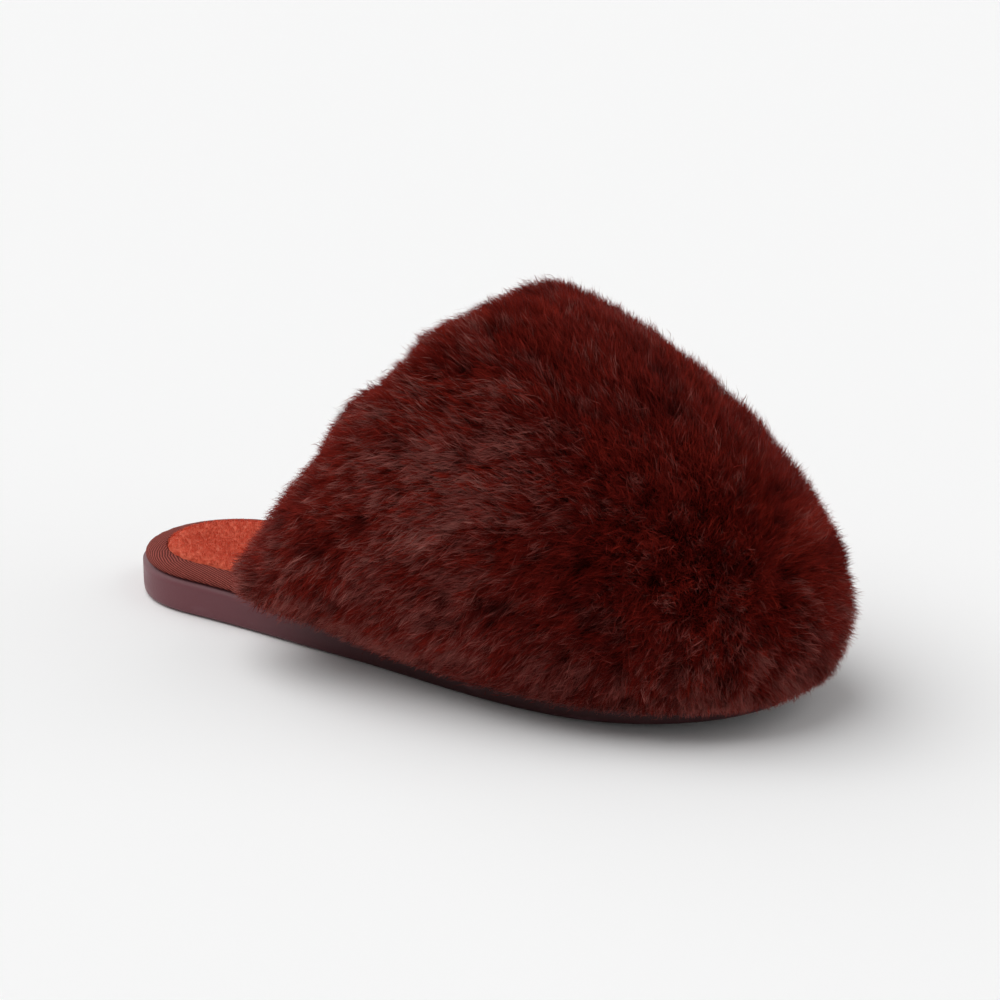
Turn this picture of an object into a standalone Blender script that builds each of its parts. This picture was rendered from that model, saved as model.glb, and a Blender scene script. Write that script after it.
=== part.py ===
"""Right-foot scuff slipper: a hollow vamp under deep faux fur, on a bound footbed and a thin outsole.

Metres, +X to the toe, +Z up, +Y to the inner side of the foot. While the pieces are worked out, x runs
from the back of the heel. The finished pieces are then set so that the origin is under the heel.
"""
import math
import random
from collections import namedtuple

import bmesh
import bpy
import numpy as np

# Sole, seen from above
LENGTH = 0.256
HEEL_WIDTH = 0.0654
WAIST_WIDTH = 0.0724
BALL_WIDTH = 0.0922
TIP_WIDTH = 0.0846
HEEL_ROUND = 0.034
TOE_ROUND = 0.0686
TOE_SQUARENESS = 2.24
TOE_TURN = 0.0023
HEEL_SPOT = 0.035

# Sole, seen from the side
SOLE_HEEL = 0.0117
SOLE_FOREFOOT = 0.0060
TOE_SPRING = 0.0055
SPRING_START = 0.174
WEDGE_START = 0.038
WEDGE_END = 0.205
SOLE_BEVEL = 0.0018
FIT = 0.0003

# Footbed and its tape
FOOTBED_EDGE = 0.0038
TAPE_THICK = 0.0009
TAPE_LIP = 0.0080
TAPE_UNDERLAP = 0.0045
TAPE_SLOPE = 0.0009
TAPE_ROUND = 0.0010
TAPE_SETBACK = 0.0010
TAPE_TUCK = 0.0230
PLUSH_RISE = 0.0006
PLUSH_DISH = 0.0026
PLUSH_SHOULDER = 0.0024
PLUSH_SLOPE = 0.0090

# Vamp
VAMP_WALL = 0.0030
VAMP_START = 0.0858
THROAT = 0.147
THROAT_ROUND = 0.35
INSTEP_HEIGHT = 0.0900
TOE_FALL_START = 0.095
TOE_FALL_BEND = 1.90
VAMP_ROUNDNESS = 2.25
SIDE_END_HEIGHT = 0.0150

# Fur
PILE = 0.0300
LOCK_RISE = 0.0028
LOCK_SWEEP = 0.0052
LOCK_VARIETY = 0.35
COLLAR_REACH = 0.0180
END_REACH = 0.0190
END_TAPER = 0.15
HEM_CLEAR = 0.0035
HEM_LOW_FROM = 0.1330
HEM_DEPTH = 0.0050
SKIRT_GAP = 0.0006
SEED = 11

# Steps of the meshes
HEEL_STEPS = 12
VAMP_STEPS = 24
VAMP_ROWS = 10
FUR_ROWS = 18
LOCK_COLUMNS = 2

Width = namedtuple("Width", "along width outer_share turn")
WIDTHS = [
    Width(0.00, HEEL_WIDTH, 0.497, 0.00),
    Width(0.13, HEEL_WIDTH, 0.497, 0.00),
    Width(0.42, WAIST_WIDTH, 0.530, 0.00),
    Width(0.70, BALL_WIDTH, 0.490, 0.25),
    Width(0.88, BALL_WIDTH * 0.97, 0.490, 0.70),
    Width(1.00, TIP_WIDTH, 0.490, 1.00),
]

# Depth of the fur as a share of PILE, up the vamp (rise 0 at the sole, 1 at the collar)
Depth = namedtuple("Depth", "rise toe side")
DEPTHS = [
    Depth(0.0, 0.34, 0.24),
    Depth(0.2, 0.62, 0.46),
    Depth(0.5, 0.83, 0.76),
    Depth(0.8, 1.06, 0.96),
    Depth(1.0, 1.18, 0.94),
]

Look = namedtuple("Look", "colour roughness")
LOOKS = {
    "outsole": Look((0.085, 0.026, 0.036), 0.55),
    "binding": Look((0.150, 0.042, 0.042), 0.80),
    "insole": Look((0.560, 0.090, 0.040), 0.95),
    "upper": Look((0.420, 0.070, 0.040), 0.95),
    "fur": Look((0.085, 0.012, 0.012), 0.90),
}


def smooth(places, values, at):
    """A monotone cubic through the values at these places, read at each point of at."""
    places, values = np.asarray(places, float), np.asarray(values, float)
    gaps = np.diff(places)
    slopes = np.diff(values) / gaps
    same_way = slopes[:-1] * slopes[1:] > 0
    total = np.where(same_way, slopes[:-1] + slopes[1:], 1.0)
    inner = np.where(same_way, 2 * slopes[:-1] * slopes[1:] / total, 0.0)
    tangents = np.concatenate([slopes[:1], inner, slopes[-1:]])
    k = np.clip(np.searchsorted(places, at, side="right") - 1, 0, len(gaps) - 1)
    u = (at - places[k]) / gaps[k]
    start = (1 + 2 * u) * (1 - u) ** 2 * values[k] + u * (1 - u) ** 2 * gaps[k] * tangents[k]
    end = u * u * (3 - 2 * u) * values[k + 1] + u * u * (u - 1) * gaps[k] * tangents[k + 1]
    return start + end


def ease(start, end, x):
    """Rises from 0 at start to 1 at end, level at both."""
    u = np.clip((x - start) / (end - start), 0, 1)
    return u * u * (3 - 2 * u)


def width_column(x, column):
    along = [row.along * LENGTH for row in WIDTHS]
    return smooth(along, [getattr(row, column) for row in WIDTHS], x)


def centre(x):
    """Where the sole's middle line lies, across the foot."""
    return -TOE_TURN * width_column(x, "turn")


def half_width(x, side):
    """From the middle line to the sole's edge, on the outer side (-1) or the inner side (+1)."""
    outer = width_column(x, "outer_share")
    share = np.where(side < 0, outer, 1 - outer)
    heel = np.clip((HEEL_ROUND - x) / HEEL_ROUND, 0, 1)
    toe = np.clip((x - LENGTH + TOE_ROUND) / TOE_ROUND, 0, 1)
    rounded = np.sqrt(1 - heel**2) * (1 - toe**TOE_SQUARENESS) ** (1 / TOE_SQUARENESS)
    return width_column(x, "width") * share * rounded


def sole_bottom(x):
    rise = np.clip((x - SPRING_START) / (LENGTH - SPRING_START), 0, 1)
    return TOE_SPRING * rise**2


def sole_top(x):
    thin = ease(WEDGE_START, WEDGE_END, x)
    return sole_bottom(x) + SOLE_HEEL + (SOLE_FOREFOOT - SOLE_HEEL) * thin


def along(turn):
    """Distance from the heel for a turn round the outline, 0 at the heel and pi at the toe."""
    return LENGTH * (1 - np.cos(turn)) / 2


def turn_at(x):
    """The turn at which the outline is at x."""
    return math.acos(1 - 2 * x / LENGTH)


def vamp_turn(t):
    """Turn round the outline for t, -1 and 1 at the vamp's side ends and 0 at the toe."""
    return turn_at(VAMP_START) + (math.pi - turn_at(VAMP_START)) * (1 - np.abs(t))


def outline():
    """The sole's edge, from the heel along the outer side to the toe and back along the inner side."""
    heel = np.linspace(0, turn_at(VAMP_START), HEEL_STEPS + 1)[:-1]
    turns = np.concatenate([heel, np.linspace(turn_at(VAMP_START), math.pi, VAMP_STEPS + 1)])
    x = along(turns)
    outer = np.column_stack([x, centre(x) - half_width(x, -1)])
    inner = np.column_stack([x, centre(x) + half_width(x, 1)])
    return np.concatenate([outer, inner[-2:0:-1]])


def ring(inset, height):
    """The outline moved inwards by inset, at height(x) above the floor."""
    edge = outline()
    run = np.roll(edge, -1, 0) - np.roll(edge, 1, 0)
    outward = np.column_stack([run[:, 1], -run[:, 0]]) / np.linalg.norm(run, axis=1)[:, None]
    flat = edge - outward * np.broadcast_to(inset, len(edge))[:, None]
    return np.column_stack([flat, height(flat[:, 0])])


def above_sole(rise):
    """A height function: this far above the sole's top face, and FIT clear of it."""
    return lambda x: sole_top(x) + FIT + rise


class Skin:
    """The points and triangles of one closed piece."""

    def __init__(self):
        self.points = []
        self.faces = []

    def row(self, points):
        first = len(self.points)
        self.points.extend(map(tuple, points))
        return list(range(first, len(self.points)))

    def bridge(self, one, other, closed=False):
        """Triangles between two rows of equal length."""
        pairs = list(zip(one, other))
        following = pairs[1:] + pairs[:1] if closed else pairs[1:]
        for (a, b), (c, d) in zip(pairs, following):
            self.faces += [(a, b, d), (a, d, c)]

    def stitch(self, one, other):
        """Triangles between two open rows of unequal length."""
        i = j = 0
        while i < len(one) - 1 or j < len(other) - 1:
            step_one = (i + 1) / (len(one) - 1) <= (j + 1) / (len(other) - 1)
            if j == len(other) - 1 or (step_one and i < len(one) - 1):
                corner = (one[i], other[j], one[i + 1])
                i += 1
            else:
                corner = (one[i], other[j], other[j + 1])
                j += 1
            if len(set(corner)) == 3:
                self.faces.append(corner)

    def close_loop(self, loop, middle=None):
        """Rungs across a loop that runs heel, outer side, toe, inner side, through one middle point each."""
        half = len(loop) // 2
        between = [[point] for point in middle] if middle else [[]] * (half - 1)
        rungs = [[loop[k], *between[k - 1], loop[-k]] for k in range(1, half)]
        for one, other in zip(rungs, rungs[1:]):
            self.bridge(one, other)
        for tip, rung in ((loop[0], rungs[0]), (loop[half], rungs[-1])):
            self.faces += [(tip, a, b) for a, b in zip(rung, rung[1:])]

    def grid(self, points):
        """Rows of points joined into a sheet, given back as rows of indices."""
        rows = [self.row(line) for line in points]
        for one, other in zip(rows, rows[1:]):
            self.bridge(one, other)
        return rows

    def close_sheets(self, outer, inner):
        """Joins the four edges of two sheets, which lie row against row and end against end."""
        for pick in (lambda s: s[0], lambda s: s[-1], lambda s: [r[0] for r in s], lambda s: [r[-1] for r in s]):
            self.stitch(pick(outer), pick(inner))


def material(name, look):
    made = bpy.data.materials.new(name)
    made.use_nodes = True
    shader = made.node_tree.nodes["Principled BSDF"]
    shader.inputs["Base Color"].default_value = (*look.colour, 1)
    shader.inputs["Roughness"].default_value = look.roughness
    return made


def add_piece(name, skin):
    """One object from a skin, with its faces turned outwards and its origin under the heel."""
    mesh = bpy.data.meshes.new(name)
    mesh.from_pydata([(x - HEEL_SPOT, y, z) for x, y, z in skin.points], [], skin.faces)
    shape = bmesh.new()
    shape.from_mesh(mesh)
    bmesh.ops.recalc_face_normals(shape, faces=shape.faces)
    shape.to_mesh(mesh)
    shape.free()
    mesh.shade_smooth()
    mesh.set_sharp_from_angle(angle=math.radians(40))
    mesh.materials.append(material(name, LOOKS[name]))
    made = bpy.data.objects.new(name, mesh)
    bpy.context.scene.collection.objects.link(made)
    return made


def outsole():
    """Flat under heel and forefoot, rounded at its lower edge, with the toe sprung off the floor."""
    skin = Skin()
    rings = [
        ring(SOLE_BEVEL, sole_bottom),
        ring(SOLE_BEVEL * 0.3, lambda x: sole_bottom(x) + SOLE_BEVEL * 0.4),
        ring(0, lambda x: sole_bottom(x) + SOLE_BEVEL * 1.2),
        ring(0, sole_top),
    ]
    loops = [skin.row(points) for points in rings]
    for lower, upper in zip(loops, loops[1:]):
        skin.bridge(lower, upper, closed=True)
    skin.close_loop(loops[0])
    skin.close_loop(loops[-1])
    return add_piece("outsole", skin)


def tape_inset():
    """How far the tape lies inside the sole's edge: close to it at the heel, inside the wall at the vamp."""
    x = outline()[:, 0]
    under_vamp = VAMP_WALL + 2 * FIT
    tuck = ease(VAMP_START - TAPE_TUCK, VAMP_START - FIT, x)
    return TAPE_SETBACK + (under_vamp - TAPE_SETBACK) * tuck


def binding():
    """The tape round the footbed's edge, a C in section with its lips over and under the footbed."""
    inset = tape_inset()
    high, thick, soft = FOOTBED_EDGE, TAPE_THICK, TAPE_ROUND
    section = [
        (TAPE_UNDERLAP, 0),
        (soft, 0),
        (0, soft),
        (0, high - soft * 1.3),
        (soft, high),
        (TAPE_LIP, high + TAPE_SLOPE),
        (TAPE_LIP, high + TAPE_SLOPE - thick),
        (thick, high - thick),
        (thick, thick),
        (TAPE_UNDERLAP, thick),
    ]
    skin = Skin()
    loops = [skin.row(ring(inset + inward, above_sole(rise))) for inward, rise in section]
    for one, other in zip(loops, loops[1:] + loops[:1]):
        skin.bridge(one, other, closed=True)
    return add_piece("binding", skin)


def insole():
    """The padded footbed inside the tape, its plush standing proud of the lip and dished along the middle."""
    inset = tape_inset()
    core, mouth, edge = TAPE_UNDERLAP + FIT, TAPE_LIP + FIT, TAPE_THICK + FIT
    lip_top = FOOTBED_EDGE + TAPE_SLOPE
    section = [
        (core, 0),
        (core, TAPE_THICK + FIT),
        (edge, TAPE_THICK + FIT),
        (edge, FOOTBED_EDGE - TAPE_THICK - FIT),
        (mouth, lip_top - TAPE_THICK - FIT),
        (mouth, lip_top + PLUSH_RISE * 0.4),
        (mouth + PLUSH_SHOULDER, lip_top + PLUSH_RISE),
        (mouth + PLUSH_SHOULDER + PLUSH_SLOPE, lip_top + PLUSH_RISE - PLUSH_DISH * 0.75),
    ]
    skin = Skin()
    rings = [ring(inset + inward, above_sole(rise)) for inward, rise in section]
    loops = [skin.row(points) for points in rings]
    for one, other in zip(loops, loops[1:]):
        skin.bridge(one, other, closed=True)
    skin.close_loop(loops[0])
    outer, inner = rings[-1][1:len(loops[0]) // 2], rings[-1][:len(loops[0]) // 2:-1]
    spine = (outer + inner) / 2
    spine[:, 2] -= PLUSH_DISH * 0.25
    skin.close_loop(loops[-1], skin.row(spine))
    return add_piece("insole", skin)


def instep(x):
    """Height of the vamp's ridge above the sole's top face."""
    fall = np.clip((x - TOE_FALL_START) / (LENGTH - TOE_FALL_START), 0, 1)
    return INSTEP_HEIGHT * (1 - fall**TOE_FALL_BEND) ** (1 / TOE_FALL_BEND)


def vamp(t, rise):
    """A point of the vamp's outer face: t runs round the sole's edge, rise from the sole to the collar."""
    side = np.where(t < 0, -1, 1)
    foot_x = along(vamp_turn(t))
    foot_y = centre(foot_x) + side * half_width(foot_x, side)
    lowest = (1 - (SIDE_END_HEIGHT / INSTEP_HEIGHT) ** VAMP_ROUNDNESS) ** (1 / VAMP_ROUNDNESS)
    across = lowest * np.sin(math.pi / 2 * np.abs(t)) ** (2 / VAMP_ROUNDNESS)
    bend = (np.hypot(t, THROAT_ROUND) - THROAT_ROUND) / (math.hypot(1, THROAT_ROUND) - THROAT_ROUND)
    collar_x = THROAT - (THROAT - VAMP_START) * bend
    collar_y = centre(collar_x) + side * across * half_width(collar_x, side)
    x = foot_x + rise**2 * (collar_x - foot_x)
    y = foot_y + rise**2 * (collar_y - foot_y)
    reach = np.maximum(half_width(x, side), 1e-9)
    straight = np.clip(np.abs(y - centre(x)) / reach, 0, 1)
    hugging = 1 + rise**2 * (across - 1)
    spread = straight + (hugging - straight) * ease(0.4, 0.7, np.abs(t))
    z = sole_top(x) + FIT + instep(x) * (1 - spread**VAMP_ROUNDNESS) ** (1 / VAMP_ROUNDNESS)
    return np.stack([x, centre(x) + side * spread * reach, z], -1)


def unit(vectors):
    return vectors / np.linalg.norm(vectors, axis=-1, keepdims=True)


def vamp_frame(t, rise):
    """The vamp's face at t and rise, with unit vectors out of it, up it to the collar and back along the sole."""
    step = 0.002
    t_low, t_high = np.clip(t - step, -1, 1), np.clip(t + step, -1, 1)
    low, high = np.clip(rise - step, 0, 1), np.clip(rise + step, 0, 1)
    round_it = vamp(t_high, rise) - vamp(t_low, rise)
    up_it = unit(vamp(t, high) - vamp(t, low))
    out = unit(np.cross(round_it, up_it))
    back = vamp(t_high, 0 * rise) - vamp(t_low, 0 * rise)
    back = back * np.where(t < 0, -1, 1)[..., None] * np.array([1, 1, 0])
    return vamp(t, rise), out, up_it, unit(back)


def vamp_columns(steps):
    return np.linspace(-1, 1, 2 * steps + 1)


def upper():
    """The hollow vamp: one wall, open at the collar and underneath."""
    t, rise = np.meshgrid(vamp_columns(VAMP_STEPS), np.linspace(0, 1, VAMP_ROWS + 1))
    face, out, _, _ = vamp_frame(t, rise)
    skin = Skin()
    outer = skin.grid(face)
    inner = skin.grid(face - VAMP_WALL * out)
    skin.close_sheets(outer, inner)
    return add_piece("upper", skin)


def hem_height(x):
    """Height of the fur's lower edge: near the sole's top at the side ends, low along the forefoot."""
    low = sole_bottom(x) + HEM_CLEAR
    high = sole_top(x) - HEM_CLEAR * 0.4
    return high + (low - high) * ease(VAMP_START, HEM_LOW_FROM, x)


def skirt_frame(t, drop):
    """Points down the outside of the sole's edge, from its top (drop 0) to the hem (1), the way out and back."""
    face, out, _, back = vamp_frame(t, np.zeros_like(t))
    x = face[..., 0]
    point = face + SKIRT_GAP * out
    point[..., 2] = sole_top(x) + (hem_height(x) - sole_top(x)) * drop
    return point, out, back


def fur_depth(t, rise):
    rises = [row.rise for row in DEPTHS]
    toe = smooth(rises, [row.toe for row in DEPTHS], rise)
    side = smooth(rises, [row.side for row in DEPTHS], rise)
    return PILE * (toe + (side - toe) * ease(0.25, 1.0, np.abs(t)))


def fur():
    """The pile over the vamp: swept locks in staggered rows, a rolled collar, and a skirt over the sole's edge."""
    columns = np.concatenate([[-1, -1], vamp_columns(VAMP_STEPS * LOCK_COLUMNS), [1, 1]])
    end_lean = np.zeros(len(columns))
    end_lean[[0, -1]], end_lean[[1, -2]] = 1.5, 0.8
    skirt_drops = [1.0, 0.62, 0.25]
    rises = list(np.linspace(0, 1, FUR_ROWS + 1)) + [1, 1]
    rim_leans = [0.0] * (FUR_ROWS + 1) + [0.8, 1.5]
    chance = random.Random(SEED)
    rows = []
    for drop in skirt_drops:
        point, out, back = skirt_frame(columns, drop)
        full = fur_depth(columns, 0 * columns)
        depth = full + (HEM_DEPTH - full) * drop**1.5
        rows.append(point + depth[:, None] * leaning(out, back, end_lean, END_REACH * END_TAPER / depth))
    for rise, rim_lean in zip(rises, rim_leans):
        point, out, up, back = vamp_frame(columns, np.full(len(columns), rise))
        depth = fur_depth(columns, rise + 0 * columns)
        reach = END_REACH * (END_TAPER + (1 - END_TAPER) * ease(0.1, 0.9, rise))
        lean = leaning(out, back, end_lean, reach / depth)
        rows.append(point + depth[:, None] * math.cos(rim_lean) * lean + COLLAR_REACH * math.sin(rim_lean) * up)
    outer = np.array(rows)
    raise_locks(outer, chance)
    t, rise = np.meshgrid(vamp_columns(VAMP_STEPS), np.linspace(0, 1, VAMP_ROWS + 1))
    face, out, _, _ = vamp_frame(t, rise)
    skirt = [skirt_frame(t[0], drop)[0] for drop in (1.0, 0.0)]
    skin = Skin()
    outside = skin.grid(outer)
    inside = skin.grid(np.concatenate([skirt, face + FIT * out]))
    skin.close_sheets(outside, inside)
    return add_piece("fur", skin)


def leaning(out, back, end_lean, stretch):
    """The pile's direction: straight out, and turned back past the side ends by end_lean."""
    return np.cos(end_lean)[:, None] * out + (np.sin(end_lean) * stretch)[:, None] * back


def raise_locks(outer, chance):
    """Pulls every other point of every other column out and back, which makes the locks."""
    rows, columns = outer.shape[:2]
    base = outer.copy()
    for column in range(4, columns - 4, 2):
        for row in range(2 + (column // 2) % 2, rows - 2, 2):
            beside = base[row, column + 1] - base[row, column - 1]
            upward = base[row + 1, column] - base[row - 1, column]
            out = unit(np.cross(beside, upward))
            sweep = np.array([-1.0, 0, -0.7])
            sweep = sweep - out * (sweep @ out)
            grow = (1 + chance.uniform(-LOCK_VARIETY, LOCK_VARIETY)) * ease(0, 8, row + 2)
            outer[row, column] += grow * (LOCK_RISE * out + LOCK_SWEEP * sweep)


def clear_scene():
    for item in list(bpy.data.objects):
        bpy.data.objects.remove(item)


clear_scene()
outsole()
binding()
insole()
upper()
fur()
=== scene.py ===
"""A scuff slipper, dressed: deep faux fur over the vamp, a plush footbed in ribbed tape, a smooth outsole.

Everything is in metres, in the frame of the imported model: +X to the toe, +Y to the inner side, +Z up,
with the origin on the floor under the heel.
"""
import math

import bmesh
import bpy
import numpy as np
from bpy.props import FloatProperty, FloatVectorProperty, IntProperty, PointerProperty
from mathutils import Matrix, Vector
from mathutils.bvhtree import BVHTree
from mathutils.kdtree import KDTree

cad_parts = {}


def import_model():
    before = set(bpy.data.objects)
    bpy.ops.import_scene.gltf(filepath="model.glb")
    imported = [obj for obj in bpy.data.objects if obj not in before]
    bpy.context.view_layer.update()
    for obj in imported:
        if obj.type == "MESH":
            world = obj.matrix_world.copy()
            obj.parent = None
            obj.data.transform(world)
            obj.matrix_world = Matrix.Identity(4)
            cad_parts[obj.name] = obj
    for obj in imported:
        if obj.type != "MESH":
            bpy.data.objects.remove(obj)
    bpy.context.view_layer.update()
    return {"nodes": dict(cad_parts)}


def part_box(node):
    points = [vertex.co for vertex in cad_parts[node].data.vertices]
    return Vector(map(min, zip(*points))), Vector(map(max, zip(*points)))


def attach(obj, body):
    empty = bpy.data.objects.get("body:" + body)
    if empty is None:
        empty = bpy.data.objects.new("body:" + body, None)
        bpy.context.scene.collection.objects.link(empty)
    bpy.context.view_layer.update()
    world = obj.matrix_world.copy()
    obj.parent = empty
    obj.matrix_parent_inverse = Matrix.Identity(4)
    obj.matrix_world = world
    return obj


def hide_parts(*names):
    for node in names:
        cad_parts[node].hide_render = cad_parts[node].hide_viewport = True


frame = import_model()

bl_info = {
    "name": "Fur scuff slipper",
    "version": (1, 0, 0),
    "blender": (4, 5, 0),
    "location": "3D View > Sidebar > Slipper",
    "description": "Dresses the slipper's solids with fur, plush, tape and sole finishes, and sets its stage",
    "category": "Object",
}

BODY = "root"
BAKED_MAP = "OFBake"
FLAT = np.array([1, 1, 0])  # times a point: the spot below it on the floor
WELD = 1e-5
TINY = 1e-12
MIX_FACTOR, MIX_FIRST, MIX_SECOND, MIX_RESULT = 0, 6, 7, 2  # sockets of a Mix node set to colours
QUAD_ANGLE = math.radians(40)
SHARP_ANGLE = math.radians(70)

# How much the strands of fur differ: what a tuft shares, what a wisp shares, and each strand's own.
LAY_SPREAD = (0.16, 0.16, 0.30)
LEAN_SPREAD = (0.05, 0.09, 0.20)
LENGTH_SPREAD = (0.03, 0.05, 0.12)
HEIGHT_SPREAD = (0.0003, 0.0004, 0.0010)
WIDTH_SPREAD = (0.0, 0.1, 0.2)
SHADE_SPREAD = (0.06, 0.09, 0.06)

PILE_VOXEL = 0.003
UNDERCOAT_SHARE = 0.55  # the deepest that the undercoat lies, as a share of the pile's depth
SHORTEST = 0.3  # share of its length that a strand keeps where the pile is thin
SWIRL = 0.22  # how far broad swirls turn the lay
SWIRL_WIDTH = 1.6  # their width, set against the mounds'
TUFT_NARROWNESS = 2.0
WISP_NARROWNESS = 2.4
MIDDLE_LEAN, ROOT_LEAN = 1.15, 0.6  # a strand's lean at its middle and root, set against the pile's
MIDDLE_PULL = 0.45
STRAND_ROLL = 0.45
FIBRE_ROLL = 0.7
HEM_CURVE = 1.5

# Stretches of the pile where light, shade and sheen are painted into the strands' colour, as (place, length
# over which it fades).
HEEL_LIGHT_STRETCH = (0.130, 0.080)
MIDDLE_SHADE_STRETCH = (0.165, 0.045)
TOE_LIGHT_STRETCH = (0.205, 0.020)
SHEEN_STRETCH = (0.165, 0.090)
SHEEN_HEIGHT = (0.055, 0.040)

# Each light and the side that it comes from.
SUNS = {"top": (-0.4, -0.3, 1), "left": (-1, 0.15, 0.6), "right": (1, 0.45, 0.6)}
WALL_FOOT, WALL_TOP = 0.09, 0.2  # how high the wall reaches, as the sine of the angle of view


def swatch(red, green, blue):
    """A colour as a paint chart gives it, 0 to 255, turned into the linear light that shaders use."""
    shares = [part / 255 for part in (red, green, blue)]
    return tuple(s / 12.92 if s <= 0.04045 else ((s + 0.055) / 1.055) ** 2.4 for s in shares)


def colour(name, description, red, green, blue):
    tint = swatch(red, green, blue)
    return FloatVectorProperty(
        name=name, description=description, default=tint, subtype="COLOR", size=3, min=0, max=1
    )


def size(name, description, metres):
    return FloatProperty(
        name=name, description=description, default=metres, subtype="DISTANCE", unit="LENGTH"
    )


def point(name, description, *place):
    return FloatVectorProperty(
        name=name, description=description, default=place, subtype="XYZ", unit="LENGTH", size=3, precision=4
    )


def stretch(name, description, *shares):
    return FloatVectorProperty(name=name, description=description, default=shares, subtype="XYZ", size=3)


def share(name, description, value):
    return FloatProperty(name=name, description=description, default=value, subtype="FACTOR", min=0, max=1)


def angle(name, description, degrees):
    return FloatProperty(name=name, description=description, default=math.radians(degrees), subtype="ANGLE")


def number(name, description, value):
    return FloatProperty(name=name, description=description, default=value)


def count(name, description, value):
    return IntProperty(name=name, description=description, default=value, min=0)


class FurLook(bpy.types.PropertyGroup):
    """The pile over the vamp"""

    strands: count("Strands", "Strands of fur in each of the four panels", 98000)
    tufts: count("Tufts", "Broad tufts that the pile falls into", 700)
    wisps: count("Wisps", "Fine wisps within the tufts", 38000)
    seed: count("Seed", "Changes how the strands fall", 7)
    length: size("Strand length", "Length of a strand above the undercoat", 0.0080)
    width: size("Strand width", "Width of a strand at its middle", 0.00018)
    lift: size("Lift", "How far the tips stand above the smoothed form of the pile", 0.0010)
    swell: size("Swell", "Height of the soft mounds in the pile", 0.0010)
    swell_width: size("Swell width", "From one soft mound to the next", 0.030)
    notch: point("Notch", "Hollow between the two mounds at the back of the collar", 0.088, -0.038, 0.102)
    upper_lobe: point("Upper lobe", "Mound above the notch", 0.104, -0.028, 0.115)
    lower_lobe: point("Lower lobe", "Mound below the notch", 0.079, -0.047, 0.091)
    lobe_height: size("Lobe height", "How far the two mounds stand out", 0.0020)
    slope: point("Slope", "Flatter stretch below them, towards the hem", 0.068, -0.052, 0.076)
    hollow_width: size("Hollow width", "Reach of the two hollows", 0.013)
    hollow_depth: size("Hollow depth", "Depth of the two hollows", 0.0032)
    # Partings are sunk into the pile and painted darker: partly real gaps, partly painted shade.
    partings: count("Partings", "Small dark gaps where the pile parts", 110)
    parting_width: size("Parting width", "Reach of a parting", 0.0034)
    parting_depth: size("Parting depth", "Depth of a parting", 0.0024)
    full_depth: size("Full depth", "Pile depth from which strands have their full length", 0.016)
    undercoat_depth: size("Undercoat depth", "How far the undercoat lies under the pile's surface", 0.0052)
    bare: size("Bare depth", "Pile depth below which nothing grows", 0.0006)
    edge: size("Edge", "How far the strands at the vamp's edge stand out, to hide the edge", 0.0032)
    hem: size("Hem", "Height above the floor below which no strand hangs at the sole's edge", 0.0074)
    hem_back: size("Hem at the back", "How much higher the strands hang at the vamp's back corners", 0.0120)
    hem_run: size("Hem run", "From a back corner to where the hem is at its lowest", 0.0750)
    hem_rise: share("Hem rise", "How fast that height grows on the way out from the sole's edge", 0.42)
    lean: angle("Lean", "How far the strands lean over from standing straight out", 37)
    droop: number("Droop", "How strongly the lay turns downwards, against the lay from the whorl", 0.55)
    whorl: point("Whorl", "Place low on the toe from which the lay spreads", 0.221, -0.022, 0.053)
    whorl_shape: stretch("Whorl shape", "Spread of the lay forward, sideways and upwards", 1.0, 0.4, 1.0)
    gleam: point("Gleam", "Middle of the dusty, shining stretch on the outer side", 0.130, -0.062, 0.080)
    gleam_width: size("Gleam width", "Reach of the shining stretch", 0.034)
    whorl_width: size("Whorl width", "How far from the whorl the strands still stand up", 0.050)
    wisp_pull: share("Wisp pull", "How far tips are drawn together into wisps", 0.24)
    tuft_pull: share("Tuft pull", "How far tips are drawn together into tufts", 0.05)
    deep: colour("Deep colour", "Darkest strands", 58, 9, 6)
    wine: colour("Wine colour", "Most of the strands", 120, 27, 19)
    rust: colour("Rust colour", "Lightest red strands", 170, 52, 38)
    # The mauve colours stand for painted sheen on strands that catch the light.
    mauve_deep: colour("Deep mauve", "Darkest of the dusty strands", 94, 32, 28)
    mauve: colour("Mauve", "Dusty strands near the heel side", 150, 76, 69)
    mauve_light: colour("Light mauve", "Lightest of the dusty strands", 180, 112, 103)
    # The undercoat is darker than any strand: painted shade deep in the pile.
    undercoat: colour("Undercoat", "Base of the pile", 34, 6, 4)
    roughness: share("Roughness", "Roughness of a strand", 0.5)


class PlushLook(bpy.types.PropertyGroup):
    """The footbed's and lining's short plush"""

    footbed_fibres: count("Footbed fibres", "Fibres on the footbed", 50000)
    lining_fibres: count("Lining fibres", "Fibres on the lining", 18000)
    seed: count("Seed", "Changes how the fibres fall", 3)
    length: size("Fibre length", "Length of a fibre", 0.0009)
    width: size("Fibre width", "Width of a fibre", 0.00014)
    # On the footbed and lining the light and pit colours follow the nubs' bump: painted light on the nubs and
    # painted shade between them. On the fibres they are random tones.
    light: colour("Light colour", "Raised plush", 242, 124, 96)
    base: colour("Colour", "Most of the plush", 234, 106, 78)
    pit: colour("Pit colour", "Between the nubs", 212, 82, 56)
    nub: size("Nub size", "Width of the plush's nubs", 0.0018)
    nub_height: size("Nub height", "Height of the plush's nubs", 0.0005)
    margin: size("Margin", "From the sole's edge to where the footbed's plush starts", 0.0093)
    hidden: size("Hidden from", "From the pile's back to where the footbed's fibres thin out", 0.055)
    puff: size("Puff", "How far the footbed rises from the tape's mouth to its middle", 0.0018)
    puff_width: size("Puff width", "From the tape's mouth to where the footbed is level", 0.0110)
    fill: share("Fill", "How tightly the footbed is stuffed", 0.8)


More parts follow.
